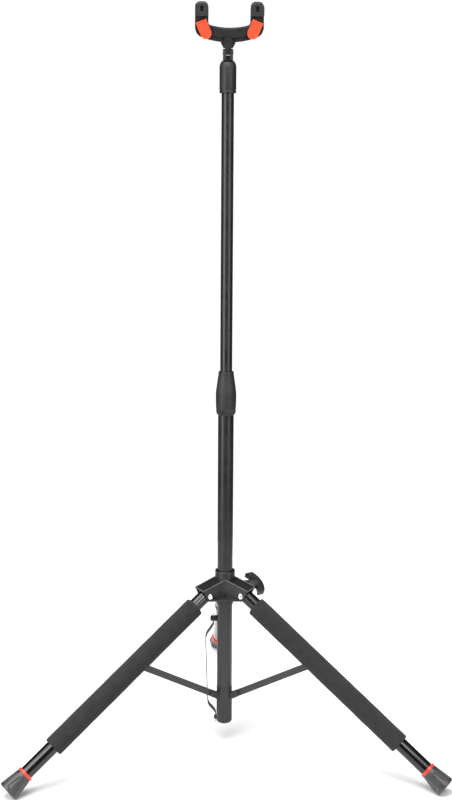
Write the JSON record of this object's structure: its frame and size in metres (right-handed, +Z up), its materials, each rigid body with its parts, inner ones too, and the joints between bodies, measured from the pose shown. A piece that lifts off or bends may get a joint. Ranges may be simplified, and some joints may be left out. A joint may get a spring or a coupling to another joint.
{
  "type": "guitar stand",
  "caption": "Hanging guitar stand: folding padded tripod, telescopic mast and a tilting U-shaped neck yoke with swinging orange gates.",
  "frame": {"origin": "on the floor under the centre of the bounding box, with the tripod open and the mast fully extended", "axes": "+Z up along the mast; the rear leg points to +Y, the padded legs and the open side of the yoke face -Y; +X is to the right seen from the front"},
  "size_m": [0.6974, 0.6084, 1.1928],
  "materials": {
    "mast_steel": "satin",
    "leg_steel": "gloss",
    "brace_steel": "satin",
    "bracket_steel": "satin",
    "zinc": "satin",
    "bright_steel": "gloss",
    "base_plastic": "matte",
    "trim_plastic": "matte",
    "grip_plastic": "matte",
    "sleeve_plastic": "satin",
    "hub_plastic": "satin",
    "yoke_plastic": "satin",
    "knob_plastic": "satin",
    "tip_rubber": "matte",
    "gate_rubber": "satin",
    "foot_rubber": "satin",
    "foam": "matte",
    "red_ring": "gloss",
    "nylon": "satin",
    "strap_webbing": "matte"
  },
  "bodies": {
    "mast": {"lower_tube": "mast_steel", "base_sleeve": "base_plastic", "base_cap": "base_plastic", "lug_rivets": "zinc", "strap": "strap_webbing", "strap_button": "trim_plastic", "strap_rivet": "trim_plastic", "clutch_collar": "trim_plastic", "clutch_collet": "nylon"},
    "clutch": {"clutch_grip": "grip_plastic"},
    "upper_mast": {"upper_tube": "mast_steel", "guide_bush": "nylon", "yoke_sleeve": "sleeve_plastic", "yoke_pin": "zinc"},
    "yoke": {"yoke_frame": "yoke_plastic", "yoke_cover": "yoke_plastic", "tip_cover_left": "tip_rubber", "tip_cover_right": "tip_rubber", "gate_pins": "zinc", "gate_springs": "zinc", "yoke_screws": "zinc"},
    "left_gate": {"gate_left": "gate_rubber"},
    "right_gate": {"gate_right": "gate_rubber"},
    "hub": {"leg_hub": "hub_plastic", "hub_liner": "trim_plastic", "leg_bolts": "bright_steel", "leg_nuts": "bright_steel", "leg_washers": "nylon", "clamp_nut": "zinc", "clamp_shoe": "nylon"},
    "clamp": {"clamp_knob": "knob_plastic", "clamp_stud": "zinc"},
    "left_leg": {"left_tube": "leg_steel", "left_plug": "trim_plastic", "left_foam": "foam", "left_ring": "red_ring", "left_foot": "foot_rubber", "left_bracket": "bracket_steel", "left_pin": "zinc"},
    "left_stay": {"left_brace": "brace_steel"},
    "right_leg": {"right_tube": "leg_steel", "right_plug": "trim_plastic", "right_foam": "foam", "right_ring": "red_ring", "right_foot": "foot_rubber", "right_bracket": "bracket_steel", "right_pin": "zinc"},
    "right_stay": {"right_brace": "brace_steel"},
    "rear_leg": {"rear_tube": "leg_steel", "rear_plug": "trim_plastic", "rear_ring": "red_ring", "rear_foot": "foot_rubber", "rear_bracket": "bracket_steel", "rear_pin": "zinc"},
    "rear_stay": {"rear_brace": "brace_steel"}
  },
  "joints": [
    {"name": "hub_slide", "type": "slide", "parent": "mast", "child": "hub", "axis": [0, 0, 1], "range_m": [0, 0.12333]},
    {"name": "left_leg_fold", "type": "hinge", "parent": "hub", "child": "left_leg", "pos_m": [-0.03074, -0.11236, 0.26322], "axis": [0.5, -0.866, 0], "range_deg": [0, 47.66]},
    {"name": "left_stay_fold", "type": "hinge", "parent": "left_leg", "child": "left_stay", "pos_m": [-0.13007, -0.16971, 0.16115], "axis": [-0.5, 0.866, 0], "range_deg": [0, 101.52]},
    {"name": "right_leg_fold", "type": "hinge", "parent": "hub", "child": "right_leg", "pos_m": [0.03074, -0.11236, 0.26322], "axis": [0.5, 0.866, 0], "range_deg": [0, 47.66]},
    {"name": "right_stay_fold", "type": "hinge", "parent": "right_leg", "child": "right_stay", "pos_m": [0.13007, -0.16971, 0.16115], "axis": [-0.5, -0.866, 0], "range_deg": [0, 101.52]},
    {"name": "rear_leg_fold", "type": "hinge", "parent": "hub", "child": "rear_leg", "pos_m": [0, -0.05911, 0.26322], "axis": [-1, 0, 0], "range_deg": [0, 47.66]},
    {"name": "rear_stay_fold", "type": "hinge", "parent": "rear_leg", "child": "rear_stay", "pos_m": [0, 0.05557, 0.16115], "axis": [1, 0, 0], "range_deg": [0, 101.52]},
    {"name": "mast_height", "type": "slide", "parent": "mast", "child": "upper_mast", "axis": [0, 0, 1], "range_m": [-0.34, 0]},
    {"name": "clutch_twist", "type": "hinge", "parent": "mast", "child": "clutch", "pos_m": [0, -0.09461, 0.604], "axis": [0, 0, 1], "range_deg": [0, 120]},
    {"name": "clamp_turn", "type": "hinge", "parent": "hub", "child": "clamp", "pos_m": [0.0433, -0.06961, 0.26382], "axis": [0.866, 0.5, 0], "range_deg": [0, 360]},
    {"name": "yoke_tilt", "type": "hinge", "parent": "upper_mast", "child": "yoke", "pos_m": [0, -0.09461, 1.1205], "axis": [1, 0, 0], "range_deg": [-30, 45]},
    {"name": "left_gate_swing", "type": "hinge", "parent": "yoke", "child": "left_gate", "pos_m": [-0.0337, -0.10151, 1.14815], "axis": [0, 0.9703, 0.2419], "range_deg": [0, 60], "stiffness_Nm_per_rad": 0.05, "springref_deg": -11.46},
    {"name": "right_gate_swing", "type": "hinge", "parent": "yoke", "child": "right_gate", "pos_m": [0.0367, -0.10151, 1.14815], "axis": [0, -0.9703, -0.2419], "range_deg": [0, 60.01], "stiffness_Nm_per_rad": 0.05, "springref_deg": -11.46}
  ],
  "couplings": [
    {"joint": "left_leg_fold", "follows": "hub_slide", "rad_per_m": 6.743},
    {"joint": "left_stay_fold", "follows": "hub_slide", "rad_per_m": 14.365},
    {"joint": "right_leg_fold", "follows": "hub_slide", "rad_per_m": 6.743},
    {"joint": "right_stay_fold", "follows": "hub_slide", "rad_per_m": 14.365},
    {"joint": "rear_leg_fold", "follows": "hub_slide", "rad_per_m": 6.743},
    {"joint": "rear_stay_fold", "follows": "hub_slide", "rad_per_m": 14.365},
    {"joint": "right_gate_swing", "follows": "left_gate_swing", "ratio": 1}
  ]
}
